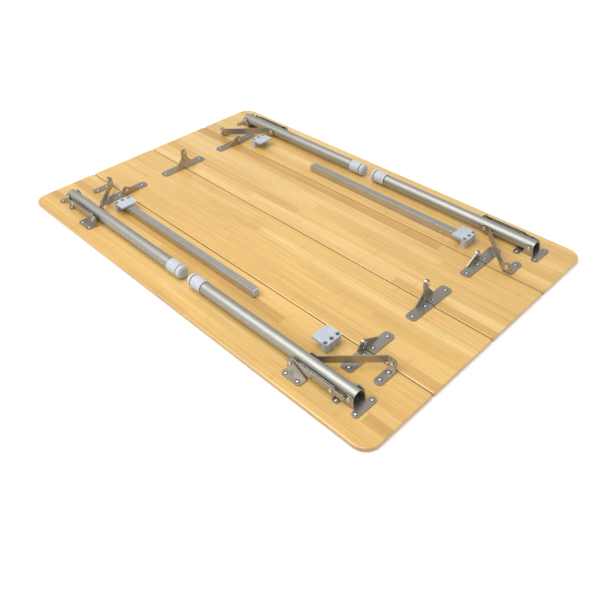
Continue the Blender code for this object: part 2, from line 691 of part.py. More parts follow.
def main():
    clear_scene()
    materials = make_materials()
    frames = make_frames()
    add_panels(frames, materials["bamboo"])
    add_hinges(frames, materials["steel"])
    add_bars_and_blocks(frames, materials)
    add_legs(frames, materials)


main()
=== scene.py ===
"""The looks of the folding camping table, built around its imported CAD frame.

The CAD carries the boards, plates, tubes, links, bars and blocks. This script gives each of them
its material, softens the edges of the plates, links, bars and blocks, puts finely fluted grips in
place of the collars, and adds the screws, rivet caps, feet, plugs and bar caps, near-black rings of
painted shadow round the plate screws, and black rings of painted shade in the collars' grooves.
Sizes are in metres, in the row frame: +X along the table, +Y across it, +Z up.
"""

import json
import math
from collections import defaultdict

import bmesh
import bpy
from mathutils import Matrix, Vector

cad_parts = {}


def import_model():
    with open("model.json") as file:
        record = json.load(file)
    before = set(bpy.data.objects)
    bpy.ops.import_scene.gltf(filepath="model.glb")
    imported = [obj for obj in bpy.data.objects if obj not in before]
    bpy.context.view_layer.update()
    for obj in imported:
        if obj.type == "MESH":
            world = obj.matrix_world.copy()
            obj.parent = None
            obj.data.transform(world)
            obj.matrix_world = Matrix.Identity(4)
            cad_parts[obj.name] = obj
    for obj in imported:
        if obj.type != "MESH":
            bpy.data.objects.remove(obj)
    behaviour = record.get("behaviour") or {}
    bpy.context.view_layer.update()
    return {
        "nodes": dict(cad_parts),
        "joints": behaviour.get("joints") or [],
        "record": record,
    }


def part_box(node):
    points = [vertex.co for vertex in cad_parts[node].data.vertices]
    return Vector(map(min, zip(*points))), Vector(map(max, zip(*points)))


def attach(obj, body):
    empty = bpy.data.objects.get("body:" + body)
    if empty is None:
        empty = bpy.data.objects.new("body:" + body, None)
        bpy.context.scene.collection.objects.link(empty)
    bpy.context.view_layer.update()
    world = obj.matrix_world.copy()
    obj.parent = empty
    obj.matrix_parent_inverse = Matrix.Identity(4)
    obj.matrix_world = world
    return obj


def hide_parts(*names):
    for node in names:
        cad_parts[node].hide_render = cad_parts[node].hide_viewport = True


MM = 0.001
X, Y, Z = 0, 1, 2
CORNERS = {
    "front_left": (-1, -1),
    "front_right": (1, -1),
    "back_left": (-1, 1),
    "back_right": (1, 1),
}
QUADRANTS = ((1, 1), (-1, 1), (-1, -1), (1, -1))

# Camera: a three-quarter view down onto the folded-in legs.
CAMERA_AZIMUTH = 46.13
CAMERA_ELEVATION = 41.05
CAMERA_ROLL = -1.70
CAMERA_OFFSET = (0.0256, -0.1521, 1.3515)  # right, up and back from the table's middle
CAMERA_LENS_MM = 37.95
SENSOR_MM = 36.0

# Lights and floor.
WHITE = (1.0, 1.0, 1.0, 1.0)
WORLD_STRENGTH = 0.58
KEY_SIZE = 2.0
KEY_PLACE = (-0.40, -0.80, 1.95)
KEY_WATTS = 39.5
FILL_SIZE = 3.0
FILL_PLACE = (1.8, 1.6, 2.6)
FILL_WATTS = 3.0
FLOOR_HALF = 6.0
FLOOR_GLOW = 0.30
FLOOR_DROP = 0.3 * MM
FLOOR_TONES = [(0.3, (0.90, 0.90, 0.90)), (0.7, (0.92, 0.92, 0.92))]
FLOOR_CLOUDS = (0.8, 0.8, 0.8)
FLOOR_ROUGHNESS = 0.9
FLOOR_SPECULAR = 0.1

# Noise: where most of its values lie, and its octaves of detail.
NOISE_LOW = 0.3
NOISE_HIGH = 0.7
SOFT = 2.0
CRISP = 3.0

# Bamboo: glued strips along the table. Each has one tone from these stops.
STRIP_WIDTH = 20.5 * MM
STRIP_LENGTH = 0.86
STRIP_TONES = [
    (0.00, (0.58, 0.32, 0.080)),
    (0.07, (0.69, 0.415, 0.109)),
    (0.30, (0.75, 0.465, 0.138)),
    (0.70, (0.79, 0.505, 0.165)),
    (1.00, (0.83, 0.565, 0.214)),
]
GLUE_START = 0.47  # share of a strip's width, from its middle line
GLUE_SHADE = 0.93
NODE_SPACING = 0.31
NODE_REACH = 7.0 * MM
NODE_SPECKLES = (140, 420, 420)
SPECKLE_LOW = 0.38
SPECKLE_HIGH = 0.68
NODE_DARKENING = (0.02, 0.12)

# Layers of the bamboo's shade: repeats a metre along X, Y and Z, detail, darkest and lightest.
CLOUDS = ((2.4, 22, 8), SOFT, 0.93, 1.05)
STREAKS = ((3.5, 230, 230), CRISP, 0.92, 1.06)
FIBRES = ((12, 900, 900), CRISP, 0.93, 1.05)

# A darker shade is a warmer one: green and blue fall by these powers of it.
GREEN_POWER = 1.2
BLUE_POWER = 1.5

# The sawn edges, by how far up or down a face looks: all sawn at the first, all face at the second. Their
# darker tones are partly the end grain's own colour and partly painted shade on the upright sides.
SAWN_AND_SHADE_SLOPE = (0.25, 0.80)
SAWN_AND_SHADE_TONES = [(0.3, (0.36, 0.20, 0.06)), (0.7, (0.56, 0.35, 0.12))]
SAWN_LAYERS = (14, 14, 900)

# The boards' lacquer. Its roughness runs from the dark shades to the light ones.
LACQUER_SHADES = (0.80, 1.10)
LACQUER_ROUGHNESS = (0.46, 0.34)
LACQUER_SPECULAR = 0.38
COAT_WEIGHT = 1.0
COAT_ROUGHNESS = 0.20
BAMBOO_BUMP = (0.22, 0.08 * MM)  # strength and height

# Metals: colour, roughness, contrast of the grain, and its repeats a metre along X, Y and Z.
METALS = {
    "tube": ((0.45, 0.445, 0.405), 0.50, 0.05, (60, 900, 900)),
    # The near-black look below is painted shadow, for the rings round the plate screws.
    "painted_shadow": ((0.06, 0.055, 0.045), 0.6, 0.05, (300, 300, 300)),
    "bar": ((0.52, 0.51, 0.48), 0.36, 0.05, (60, 900, 900)),
    "foot_tube": ((0.50, 0.49, 0.46), 0.36, 0.04, (60, 900, 900)),
    "steel": ((0.43, 0.40, 0.345), 0.34, 0.13, (900, 900, 900)),
    "screw": ((0.66, 0.63, 0.58), 0.28, 0.08, (1200, 1200, 1200)),
}
METALLIC = 0.93  # the mirror-like part of their colour. The rest is the dull film on them
METAL_STAINS = (26, 26, 26)
STAIN_SHARE = 0.5
METAL_STOPS = (0.32, 0.68)
METAL_ROUGH_SPREAD = (-0.05, 0.06)
METAL_BUMP = (0.12, 0.04 * MM)

# Plastics: colour and roughness.
PLASTICS = {
    "plastic": ((0.50, 0.54, 0.60), 0.46),
    "grip": ((0.56, 0.59, 0.63), 0.33),
    # Black is the tube plugs' plastic, and also painted shade in the collars' grooves.
    "black": ((0.012, 0.012, 0.013), 0.55),
}
PLASTIC_CLOUDS = (60, 60, 60)
PLASTIC_GRAIN = (2600, 2600, 2600)
PLASTIC_CONTRAST = (0.94, 1.05)
PLASTIC_ROUGH_SPREAD = (-0.06, 0.06)
PLASTIC_BUMP = (0.20, 0.05 * MM)

# Thickness of the hinge and bracket plates.
SHEET = 2.0 * MM

# Softened edges of the CAD's own pieces.
WELD = 0.02 * MM
SLOT_EDGES = {"steel": 0.35 * MM, "plastic": 0.8 * MM}
SLOT_EDGE_STEPS = 2
BAR_EDGE = 1.8 * MM
BAR_EDGE_STEPS = 3
EDGE_ANGLE = 50  # degrees: corners sharper than this are rounded
SMOOTH_ANGLE = 40  # degrees: the CAD's faces that meet at less than this shade as one
PIECE_SMOOTH_ANGLE = 38  # degrees: the same for the pieces made here

# Sides of the turned shapes.
ROUND_SIDES = 64
SCREW_SIDES = 32
PLUG_SIDES = 48
HOLE_SIDES = 24
WELL_SIDES = 6

# Screws.
SCREW_RADIUS = 3.3 * MM
SCREW_DOME = 0.95 * MM
SCREW_STEPS = 6
SCREW_FLAT = 0.6  # the dome's flat top, in steps
SCREW_RIM = 0.3 * MM
# The ring round a plate screw's head: near-black painted shadow, standing in for the shade of a hole.
SCREW_SHADOW_WIDTH = 0.9 * MM
SCREW_SHADOW_RISE = 0.15 * MM
SCREW_SINK = 0.6 * MM
CROSS_LONG = 1.9 * MM
CROSS_WIDE = 0.45 * MM
CROSS_DEEP = 0.75 * MM
HINGE_SCREWS = (11.7 * MM, 49.7 * MM)  # from the seam
HINGE_REACH = 59.5 * MM  # from the seam to the leaf's far end
HINGE_SCREW_IN = 10.4 * MM  # from the leaf's outer side
CLEVIS_SCREW_OUT = 19.5 * MM  # from the leg's axis
CLEVIS_SCREW_IN = 7.0 * MM  # from the plate's ends
LOCK_SCREW_IN = 7.0 * MM  # from the bracket's outer side
LOCK_SCREW_END = 9.0 * MM  # from its ends
STRUT_SCREWS = (14.0 * MM, 36.0 * MM)  # from the bracket's inner end
BLOCK_SCREW_PITCH = 15.2 * MM
BLOCK_WALL = 12.0 * MM
BLOCK_SCREW_DEPTH = 12.5 * MM

# Rivet caps. The profile is in shares of the height and of the radius, from the side to the well.
RIVET_RADIUS = 4.1 * MM
RIVET_HEIGHT = 0.9 * MM
RIVET_SINK = 0.2 * MM
RIVET_PROFILE = ((0.25, 1.0), (0.65, 0.93), (0.93, 0.80), (1.0, 0.64), (0.90, 0.50), (0.30, 0.40))
HINGE_RIVET_LONG = 7.4 * MM
STRUT_RIVET_LONG = 7.1 * MM
CLEVIS_RIVET_OUT = 15.8 * MM  # from the leg's axis
LOCK_RIVET_OUT = 23.9 * MM  # from the handle link's own joint

# Feet.
FOOT_RADIUS = 13.3 * MM
FOOT_PROUD = 0.3 * MM
FOOT_ROUND = 4.5 * MM
FOOT_ROUND_STEPS = 8
FOOT_EDGE_IN = 1.0 * MM
FOOT_EDGE_LONG = 0.4 * MM
FOOT_RIM_LONG = 1.1 * MM
FOOT_GROOVE = 2.0 * MM
FOOT_FLUTES = 24
FOOT_FLUTE_STEPS = 6
FLUTE_DEPTH = 0.46 * MM
RIB_ROWS = 3  # on each side of the middle one
RIB_PITCH = 2.9 * MM
RIB_WIDTH = 1.4 * MM
RIB_PROFILE = ((-0.2 * MM, 1.0), (0.6 * MM, 1.0), (1.0 * MM, 0.55))  # height, share of the width

# Collars, and the black rings of painted shade in their grooves.
COLLAR_WALL = 3.4 * MM
COLLAR_RIM = 3.0 * MM
COLLAR_EDGE = 0.5 * MM
COLLAR_FLUTES = 14
COLLAR_FLUTE_STEPS = 10
FLUTE_RUN = 0.6 * MM
COLLAR_TIP = ((0.8 * MM, 0), (0.2 * MM, 0.3 * MM), (0, 0.9 * MM))  # from the end, in from the side
# The collar's end grooves: the one by the tube is this long, and black rings of painted shade sit this
# deep in both.
TUBE_GROOVE_LONG = 1.2 * MM
GROOVE_SHADOW_DEPTH = 1.5 * MM
GAP = 0.3 * MM

# Plugs in the open ends of the leg tubes.
TUBE_WALL = 1.2 * MM
PLUG_PLAY = 0.1 * MM
PLUG_LONG = 24 * MM
PLUG_INSET = 1.2 * MM
PLUG_WELL = 5 * MM
WELL_FLOOR = 0.55  # share of the plug's radius
WELL_MOUTH = 0.7
PIN_HOLE = 3.4 * MM
CUT_PAST = 2 * MM
SLOPE_TOP = 3 * MM  # above the axis, at the tube's end
SLOPE_FOOT = 4 * MM  # from the pin, towards the middle of the table

# Bar caps: (out from the bar's end, in from its side) rings, from the stem to the face.
BAR_WALL = 1.3 * MM
CAP_STEM = 8 * MM
CAP_FLANGE = 2.2 * MM
CAP_INSET = 0.5 * MM
CAP_SEAT = 0.02 * MM
CAP_RINGS = (
    (-CAP_STEM, BAR_WALL + 0.3 * MM),
    (-CAP_SEAT, BAR_WALL + 0.1 * MM),
    (-CAP_SEAT, CAP_INSET),
    (CAP_FLANGE * 0.6, CAP_INSET),
    (CAP_FLANGE, CAP_INSET + 0.5 * MM),
)
CAP_CORNER = 1.6 * MM
CAP_CORNER_STEPS = 4


# --- node helpers -------------------------------------------------------------------------------
def put(tree, socket, value):
    """Links a socket to another node's output, or sets its plain value."""
    if isinstance(value, bpy.types.NodeSocket):
        tree.links.new(value, socket)
    else:
        socket.default_value = value


def add(tree, kind, inputs=None, **settings):
    """A shader node with its settings, and its inputs set or linked."""
    made = tree.nodes.new(f"ShaderNode{kind}")
    for key, value in settings.items():
        setattr(made, key, value)
    for key, value in (inputs or {}).items():
        put(tree, made.inputs[key], value)
    return made


def maths(tree, operation, *values):
    """The result of one operation on one or two values."""
    inputs = dict(enumerate(values))
    return add(tree, "Math", inputs, operation=operation).outputs[0]


def spread(tree, value, low, high, new_low, new_high):
    """A value mapped smoothly from one range to another, and held at its ends."""
    inputs = {"Value": value, "From Min": low, "From Max": high, "To Min": new_low, "To Max": new_high}
    return add(tree, "MapRange", inputs, interpolation_type="SMOOTHSTEP").outputs[0]


def noise(tree, place, repeats, detail):
    """Noise over the object's own coordinates, with its repeats a metre along X, Y and Z."""
    scaled = add(tree, "Mapping", {"Vector": place, "Scale": repeats}).outputs[0]
    return add(tree, "TexNoise", {"Vector": scaled, "Scale": 1.0, "Detail": detail}).outputs["Fac"]


def shade_layer(tree, place, repeats, detail, darkest, lightest):
    """Noise as a shade that a colour is multiplied by."""
    return spread(tree, noise(tree, place, repeats, detail), NOISE_LOW, NOISE_HIGH, darkest, lightest)


def mixed(tree, factor, first, second, blend="MIX"):
    """Two colours mixed or blended."""
    made = add(tree, "Mix", data_type="RGBA", blend_type=blend)
    for key, value in {"Factor": factor, "A": first, "B": second}.items():
        put(tree, next(s for s in made.inputs if s.name == key and s.enabled), value)
    return next(s for s in made.outputs if s.enabled)


def ramp(tree, value, stops):
    """The colour at a value, from (value, colour) stops."""
    made = add(tree, "ValToRGB", {"Fac": value})
    elements = made.color_ramp.elements
    while len(elements) < len(stops):
        elements.new(0.5)
    for element, (place, colour) in zip(elements, stops):
        element.position = place
        element.color = (*colour, 1.0)
    return made.outputs["Color"]


def new_material(name):
    """A material, its tree, its shader and the object's own coordinates."""
    material = bpy.data.materials.new(name)
    material.use_nodes = True
    tree = material.node_tree
    shader = tree.nodes["Principled BSDF"]
    place = add(tree, "TexCoord").outputs["Object"]
    return material, tree, shader, place


def bump(tree, shader, height, strength, distance):
    """Small relief on the shader, from a height."""
    made = add(tree, "Bump", {"Height": height, "Strength": strength, "Distance": distance})
    tree.links.new(made.outputs["Normal"], shader.inputs["Normal"])


# --- materials ----------------------------------------------------------------------------------
def bamboo_tones(tree, place):
    """The place across the strips, the place along them, and each strip's own tone."""
    axes = add(tree, "SeparateXYZ", {0: place}).outputs
    across = maths(tree, "DIVIDE", axes["Y"], STRIP_WIDTH)
    strip = maths(tree, "FLOOR", across)
    shift = add(tree, "TexWhiteNoise", {"W": strip}, noise_dimensions="1D").outputs["Value"]
    along = maths(tree, "ADD", axes["X"], shift)
    length = maths(tree, "FLOOR", maths(tree, "DIVIDE", along, STRIP_LENGTH))
    cell = add(tree, "CombineXYZ", {"X": strip, "Y": length}).outputs[0]
    tone = add(tree, "TexWhiteNoise", {"Vector": cell}, noise_dimensions="2D").outputs["Value"]
    return across, along, ramp(tree, tone, STRIP_TONES)


def from_half(tree, value):
    """How far a repeating value lies from the middle of its repeat, in repeats."""
    return maths(tree, "ABSOLUTE", maths(tree, "SUBTRACT", maths(tree, "FRACT", value), 0.5))


def bamboo_shade(tree, place, across, along):
    """Streaks, fibres, speckled growth nodes and the faint lines between the strips."""
    clouds, streaks, fibres = (shade_layer(tree, place, *layer) for layer in (CLOUDS, STREAKS, FIBRES))
    from_node = from_half(tree, maths(tree, "DIVIDE", along, NODE_SPACING))
    near_node = spread(tree, from_node, 0.0, NODE_REACH / NODE_SPACING, 1.0, 0.0)
    specks = noise(tree, place, NODE_SPECKLES, SOFT)
    darker = spread(tree, specks, SPECKLE_LOW, SPECKLE_HIGH, *NODE_DARKENING)
    nodes = maths(tree, "SUBTRACT", 1.0, maths(tree, "MULTIPLY", near_node, darker))
    glue = spread(tree, from_half(tree, across), GLUE_START, 0.5, 1.0, GLUE_SHADE)
    grain = maths(tree, "MULTIPLY", maths(tree, "MULTIPLY", clouds, streaks), fibres)
    return maths(tree, "MULTIPLY", grain, maths(tree, "MULTIPLY", nodes, glue))


def bamboo_material():
    """Lacquered strips with their own tones, long fibres, growth nodes and darker sawn edges, partly
    painted shade.
    """
    material, tree, shader, place = new_material("look_bamboo")
    across, along, colour = bamboo_tones(tree, place)
    shade = bamboo_shade(tree, place, across, along)
    green = maths(tree, "POWER", shade, GREEN_POWER)
    blue = maths(tree, "POWER", shade, BLUE_POWER)
    tint = add(tree, "CombineColor", {0: shade, 1: green, 2: blue}).outputs[0]
    face = mixed(tree, 1.0, colour, tint, "MULTIPLY")
    up = add(tree, "SeparateXYZ", {0: add(tree, "TexCoord").outputs["Normal"]}).outputs["Z"]
    # Upright faces take the sawn tones: the end grain's colour, darkened with painted shade.
    sawn = spread(tree, maths(tree, "ABSOLUTE", up), *SAWN_AND_SHADE_SLOPE, 1.0, 0.0)
    edge = ramp(tree, noise(tree, place, SAWN_LAYERS, CRISP), SAWN_AND_SHADE_TONES)
    rough = spread(tree, shade, *LACQUER_SHADES, *LACQUER_ROUGHNESS)
    tree.links.new(mixed(tree, sawn, face, edge), shader.inputs["Base Color"])
    tree.links.new(rough, shader.inputs["Roughness"])
    shader.inputs["Specular IOR Level"].default_value = LACQUER_SPECULAR
    shader.inputs["Coat Weight"].default_value = COAT_WEIGHT
    shader.inputs["Coat Roughness"].default_value = COAT_ROUGHNESS
    bump(tree, shader, shade, *BAMBOO_BUMP)
    return material


def metal_material(name, colour, roughness, contrast, repeats):
    """Metal with a fine grain, broad soft stains and a roughness that wanders."""
    material, tree, shader, place = new_material(name)
    stains = maths(tree, "MULTIPLY", noise(tree, place, METAL_STAINS, CRISP), STAIN_SHARE)
    fine = noise(tree, place, repeats, CRISP)
    both = maths(tree, "ADD", stains, maths(tree, "MULTIPLY", fine, 1 - STAIN_SHARE))
    shades = ([c * (1 - contrast) for c in colour], [c * (1 + contrast) for c in colour])
    tree.links.new(ramp(tree, both, list(zip(METAL_STOPS, shades))), shader.inputs["Base Color"])
    low, high = (roughness + change for change in METAL_ROUGH_SPREAD)
    tree.links.new(spread(tree, fine, NOISE_LOW, NOISE_HIGH, low, high), shader.inputs["Roughness"])
    shader.inputs["Metallic"].default_value = METALLIC
    bump(tree, shader, fine, *METAL_BUMP)
    return material


def plastic_material(name, colour, roughness):
    """Moulded plastic with a fine spark-eroded texture."""
    material, tree, shader, place = new_material(name)
    clouds = noise(tree, place, PLASTIC_CLOUDS, SOFT)
    texture = noise(tree, place, PLASTIC_GRAIN, SOFT)
    shades = [[min(1.0, c * share) for c in colour] for share in PLASTIC_CONTRAST]
    stops = list(zip((NOISE_LOW, NOISE_HIGH), shades))
    tree.links.new(ramp(tree, clouds, stops), shader.inputs["Base Color"])
    low, high = (roughness + change for change in PLASTIC_ROUGH_SPREAD)
    tree.links.new(spread(tree, texture, NOISE_LOW, NOISE_HIGH, low, high), shader.inputs["Roughness"])
    bump(tree, shader, texture, *PLASTIC_BUMP)
    return material


def floor_material():
    """A matt white floor with faint clouds and a glow of its own."""
    material, tree, shader, place = new_material("look_floor")
    white = ramp(tree, noise(tree, place, FLOOR_CLOUDS, SOFT), FLOOR_TONES)
    tree.links.new(white, shader.inputs["Base Color"])
    shader.inputs["Roughness"].default_value = FLOOR_ROUGHNESS
    shader.inputs["Specular IOR Level"].default_value = FLOOR_SPECULAR
    shader.inputs["Emission Color"].default_value = WHITE
    shader.inputs["Emission Strength"].default_value = FLOOR_GLOW
    return material


def make_materials():
    """Every material of the table, by its short name."""
    materials = {"bamboo": bamboo_material()}
    for name, look in METALS.items():
        materials[name] = metal_material(f"look_{name}", *look)
    for name, look in PLASTICS.items():
        materials[name] = plastic_material(f"look_{name}", *look)
    return materials


# --- places on the CAD --------------------------------------------------------------------------
def end_of(node, axis, side):
    """A node's highest place along an axis, or its lowest where the side is negative."""
    low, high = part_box(node)
    return high[axis] if side > 0 else low[axis]


def height_of(node):
    """A node's height along Z."""
    return end_of(node, Z, 1) - end_of(node, Z, -1)


def plate_top(node):
    """The height of a plate's upper face: its lowest plane plus one sheet."""
    return end_of(node, Z, -1) + SHEET


def panel_under(corner):
    """The name of the outer board that carries a corner's leg."""
    return corner.split("_")[0] + "_outer_panel"


def joint_places(frame):
    """The place of each joint that has one, by its name."""
    return {joint["name"]: Vector(joint["pos_m"]) for joint in frame["joints"] if "pos_m" in joint}


def facing(place, direction):
    """The matrix that puts a shape's +Z along a direction, at a place."""
    turn = Vector(direction).to_track_quat("Z", "Y").to_matrix().to_4x4()
    return Matrix.Translation(Vector(place)) @ turn


# --- mesh helpers -------------------------------------------------------------------------------
def rings_mesh(rings, closed_ends=True):
    """A skin over rings of points. Its ends are capped, or its last ring joins its first."""
    shape = bmesh.new()
    loops = [[shape.verts.new(point) for point in ring] for ring in rings]
    pairs = list(zip(loops, loops[1:]))
    if closed_ends:
        shape.faces.new(loops[0])
        shape.faces.new(loops[-1])
    else:
        pairs.append((loops[-1], loops[0]))
    for first, second in pairs:
        for i in range(len(first)):
            j = (i + 1) % len(first)
            shape.faces.new((first[i], first[j], second[j], second[i]))
    bmesh.ops.recalc_face_normals(shape, faces=shape.faces)
    mesh = bpy.data.meshes.new("rings")
    shape.to_mesh(mesh)
    shape.free()
    return mesh


def turned(profile, sides=ROUND_SIDES, closed_ends=True, flutes=0):
    """A turned shape along +Z from (height, radius, flute depth) rings."""
    rings = []
    for height, radius, depth in profile:
        ring = []
        for i in range(sides):
            angle = 2 * math.pi * i / sides
            reach = radius - depth * (0.5 - 0.5 * math.cos(flutes * angle)) ** 2
            ring.append((reach * math.cos(angle), reach * math.sin(angle), height))
        rings.append(ring)
    return rings_mesh(rings, closed_ends)


def oblong(half_long, half_wide, height, shift=0.0):
    """A four-cornered ring about the Z axis, which may be shifted along Y."""
    return [(x * half_long, shift + y * half_wide, height) for x, y in QUADRANTS]


def rounded_square(half, radius):
    """The outline of a square with round corners, about the origin."""
    points = []
    inner = half - radius
    for quarter, (x, y) in enumerate(QUADRANTS):
        for step in range(CAP_CORNER_STEPS + 1):
            angle = math.pi / 2 * (quarter + step / CAP_CORNER_STEPS)
            points.append((x * inner + radius * math.cos(angle), y * inner + radius * math.sin(angle)))
    return points


def boolean_cut(mesh, cutter):
    """A mesh with another cut out of it."""
    holders = [bpy.data.objects.new("holder", m) for m in (mesh, cutter)]
    for holder in holders:
        bpy.context.scene.collection.objects.link(holder)
    modifier = holders[0].modifiers.new("cut", "BOOLEAN")
    modifier.operation = "DIFFERENCE"
    modifier.solver = "EXACT"
    modifier.object = holders[1]
    graph = bpy.context.evaluated_depsgraph_get()
    result = bpy.data.meshes.new_from_object(holders[0].evaluated_get(graph))
    for holder in holders:
        bpy.data.objects.remove(holder)
    return result


def add_piece(name, parts, material, body):
    """One object from (mesh, matrix) parts, each a placed copy of its mesh, riding on a body."""
    shape = bmesh.new()
    for mesh, matrix in parts:
        copy = mesh.copy()
        copy.transform(matrix)
        shape.from_mesh(copy)
        bpy.data.meshes.remove(copy)
    mesh = bpy.data.meshes.new(name)
    shape.to_mesh(mesh)
    shape.free()
    mesh.materials.append(material)
    mesh.shade_smooth()
    mesh.set_sharp_from_angle(angle=math.radians(PIECE_SMOOTH_ANGLE))
    piece = bpy.data.objects.new(name, mesh)
    bpy.context.scene.collection.objects.link(piece)
    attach(piece, body)
    return piece


# --- the CAD's own pieces -----------------------------------------------------------------------
def shading_group():
    """Geometry nodes that drop the imported normals and shade round stretches as smooth."""
    group = bpy.data.node_groups.new("smooth by angle", "GeometryNodeTree")
    for way in ("INPUT", "OUTPUT"):
        group.interface.new_socket("Geometry", in_out=way, socket_type="NodeSocketGeometry")
    start = group.nodes.new("NodeGroupInput")
    end = group.nodes.new("NodeGroupOutput")
    angle = group.nodes.new("GeometryNodeInputMeshEdgeAngle")
    sharper = group.nodes.new("FunctionNodeCompare")
    sharper.operation = "GREATER_THAN"
    sharper.inputs["B"].default_value = math.radians(SMOOTH_ANGLE)
    normals = group.nodes.new("GeometryNodeSetMeshNormal")
    normals.inputs["Remove Custom"].default_value = True
    normals.inputs["Face Sharpness"].default_value = False
    group.links.new(angle.outputs["Unsigned Angle"], sharper.inputs["A"])
    group.links.new(sharper.outputs["Result"], normals.inputs["Edge Sharpness"])
    group.links.new(start.outputs["Geometry"], normals.inputs["Mesh"])
    group.links.new(normals.outputs["Mesh"], end.inputs["Geometry"])
    return group


def soften(node, group, width, steps):
    """Merges the imported corners, rounds sharp edges where a width is given, and smooths the shading."""
    weld = node.modifiers.new("weld", "WELD")
    weld.merge_threshold = WELD
    if width:
        edge = node.modifiers.new("soft edges", "BEVEL")
        edge.width = width
        edge.segments = steps
        edge.limit_method = "ANGLE"
        edge.angle_limit = math.radians(EDGE_ANGLE)
        edge.use_clamp_overlap = True
    smooth = node.modifiers.new("smooth rounds", "NODES")
    smooth.node_group = group
    flatten = node.modifiers.new("flat shading of flats", "WEIGHTED_NORMAL")
    flatten.keep_sharp = True


def dress_nodes(frame, materials):
    """Gives every CAD node its look by the record's material slot. The bars have their own."""
    slots = {row["node"]: row["material_slot"] for row in frame["record"]["subparts"]}
    group = shading_group()
    for name, node in frame["nodes"].items():
        node.data.materials.clear()
        if name.endswith("_bar"):
            node.data.materials.append(materials["bar"])
            soften(node, group, BAR_EDGE, BAR_EDGE_STEPS)
        else:
            node.data.materials.append(materials[slots[name]])
            soften(node, group, SLOT_EDGES.get(slots[name], 0.0), SLOT_EDGE_STEPS)


# --- screws -------------------------------------------------------------------------------------
def screw_mesh():
    """A pan-head screw with a cross recess."""
    profile = [(-SCREW_SINK, SCREW_RADIUS, 0), (SCREW_RIM, SCREW_RADIUS, 0)]
    for i in range(1, SCREW_STEPS + 1):
        angle = math.pi / 2 * i / (SCREW_STEPS + SCREW_FLAT)
        profile.append((SCREW_RIM + SCREW_DOME * math.sin(angle), SCREW_RADIUS * math.cos(angle), 0))
    head = turned(profile, SCREW_SIDES)
    top = SCREW_RIM + SCREW_DOME
    for long, wide in ((CROSS_LONG, CROSS_WIDE), (CROSS_WIDE, CROSS_LONG)):
        rings = [oblong(long, wide, height) for height in (top - CROSS_DEEP, top + MM)]
        head = boolean_cut(head, rings_mesh(rings))
    return head


def painted_screw_shadow_mesh():
    """A near-black ring round a screw's head: painted shadow where its hole would be in shade."""
    rim = SCREW_RADIUS + SCREW_SHADOW_WIDTH
    profile = [(-SCREW_SINK, rim, 0), (SCREW_SHADOW_RISE, rim, 0), (SCREW_SHADOW_RISE, SCREW_RADIUS, 0)]
    return turned(profile, SCREW_SIDES)


def hinge_screw_places():
    """Two places on each hinge leaf, counted from the seam that it lies beside, by body."""
    found = defaultdict(list)
    for part, y_side in (("front", -1), ("back", 1)):
        for end, x_side in (("left", -1), ("right", 1)):
            leaves = {
                f"{part}_{end}_hinge_outer_leaf": (f"{part}_outer_panel", y_side),
                f"{part}_{end}_hinge_inner_leaf": (f"{part}_inner_panel", -y_side),
                f"middle_{end}_hinge_{part}_leaf": (f"{part}_inner_panel", y_side),
            }
            for leaf, (body, away) in leaves.items():
                x = end_of(leaf, X, x_side) - x_side * HINGE_SCREW_IN
                seam = end_of(leaf, Y, away) - away * HINGE_REACH
                found[body] += [(x, seam + away * distance, plate_top(leaf)) for distance in HINGE_SCREWS]
    return found


def bracket_screw_places(joints):
    """The places of the screws of each corner's clevis, lock bracket and strut bracket, by body."""
    found = defaultdict(list)
    for corner, (_, y_side) in CORNERS.items():
        places = found[panel_under(corner)]
        leg = joints[f"{corner}_leg_fold"]
        clevis = f"{corner}_leg_clevis"
        lock = f"{corner}_lock_bracket"
        strut = f"{corner}_strut_bracket"
        for x in (end_of(clevis, X, -1) + CLEVIS_SCREW_IN, end_of(clevis, X, 1) - CLEVIS_SCREW_IN):
            for side in (-1, 1):
                places.append((x, leg.y + side * CLEVIS_SCREW_OUT, plate_top(clevis)))
        lock_y = end_of(lock, Y, y_side) - y_side * LOCK_SCREW_IN
        for x in (end_of(lock, X, -1) + LOCK_SCREW_END, end_of(lock, X, 1) - LOCK_SCREW_END):
            places.append((x, lock_y, plate_top(lock)))
        strut_x = (end_of(strut, X, -1) + end_of(strut, X, 1)) / 2
        for distance in STRUT_SCREWS:
            places.append((strut_x, end_of(strut, Y, -y_side) + y_side * distance, plate_top(strut)))
    return found


def block_screw_places():
    """A place down each hole of the plastic blocks, by body."""
    found = defaultdict(list)
    for part, pivot_side in (("front", -1), ("back", 1)):
        for kind, side in (("bar_pivot_block", pivot_side), ("catch_block", -pivot_side)):
            block = f"{part}_{kind}"
            x = end_of(block, X, side) - side * BLOCK_WALL / 2
            middle = (end_of(block, Y, -1) + end_of(block, Y, 1)) / 2
            z = end_of(block, Z, 1) - BLOCK_SCREW_DEPTH
            for row in (-1, 0, 1):
                found[f"{part}_outer_panel"].append((x, middle + row * BLOCK_SCREW_PITCH, z))
    return found


def add_screws(joints, materials):
    """Every screw, with a ring of painted shadow round those that hold plates."""
    screw = screw_mesh()
    well = painted_screw_shadow_mesh()
    groups = {
        "hinge": hinge_screw_places(),
        "bracket": bracket_screw_places(joints),
        "block": block_screw_places(),
    }
    for kind, found in groups.items():
        for body, places in found.items():
            turns = [facing(place, (0, 0, 1)) for place in places]
            screws = [(screw, turn) for turn in turns]
            add_piece(f"{body}_{kind}_screws", screws, materials["screw"], body)
            # Plate screws get a near-black ring of painted shadow round their heads.
            if kind != "block":
                screw_shadows = [(well, turn) for turn in turns]
                add_piece(f"{body}_{kind}_painted_screw_shadows", screw_shadows, materials["painted_shadow"], body)


